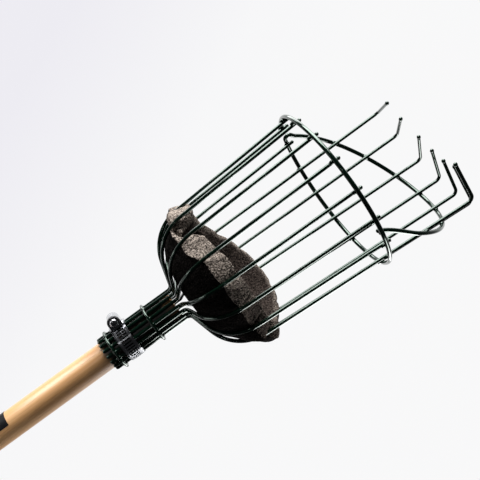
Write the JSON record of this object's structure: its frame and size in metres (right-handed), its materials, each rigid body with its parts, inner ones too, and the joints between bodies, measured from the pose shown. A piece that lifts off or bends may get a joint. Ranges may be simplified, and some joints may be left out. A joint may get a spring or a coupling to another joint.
{
  "type": "fruit picker basket",
  "caption": "Wire basket head with hooked fingers and a foam pad, clamped by a worm-drive hose clamp to the end of a wooden pole, for pulling fruit off high branches.",
  "frame": {"origin": "centre of the pole's lower end face", "axes": "+Z along the pole towards the basket's mouth, +Y towards the middle of the hooked fingers"},
  "size_m": [0.1629, 0.1663, 0.5494],
  "materials": {
    "wire_paint": "gloss dark green enamel over steel wire",
    "pole_wood": "smooth pale wood, thin clear coat",
    "label_black": "satin black blank label",
    "clamp_steel": "bright stainless strip",
    "screw_steel": "bright plated steel",
    "foam": "open-cell grey-brown foam"
  },
  "bodies": {
    "pole": {"pole": "pole_wood", "pole_label": "label_black"},
    "clamp": {"clamp_band": "clamp_steel", "clamp_housing": "clamp_steel"},
    "screw": {"clamp_screw": "screw_steel"},
    "basket": {"socket_ring_lower": "wire_paint", "socket_ring_upper": "wire_paint", "rim_wire": "wire_paint", "foam_pad": "foam", "basket_wire_1": "wire_paint", "basket_wire_2": "wire_paint", "basket_wire_3": "wire_paint", "basket_wire_4": "wire_paint", "basket_wire_5": "wire_paint", "basket_wire_6": "wire_paint", "basket_wire_7": "wire_paint", "basket_wire_8": "wire_paint", "basket_wire_9": "wire_paint", "finger_wire_1": "wire_paint", "finger_wire_2": "wire_paint", "finger_wire_3": "wire_paint", "finger_wire_4": "wire_paint", "finger_wire_5": "wire_paint", "finger_wire_6": "wire_paint", "finger_wire_7": "wire_paint"}
  },
  "joints": [
    {"name": "head_pull_off", "type": "slide", "parent": "pole", "child": "clamp", "axis": [0, 0, 1], "range_m": [0, 0.07]},
    {"name": "head_turn", "type": "hinge", "parent": "clamp", "child": "basket", "pos_m": [0, 0, 0.22], "axis": [0, 0, 1], "continuous": true},
    {"name": "clamp_screw_turn", "type": "hinge", "parent": "clamp", "child": "screw", "pos_m": [-0.013, -0.01725, 0.2205], "axis": [0.7986, -0.6018, 0], "continuous": true}
  ]
}
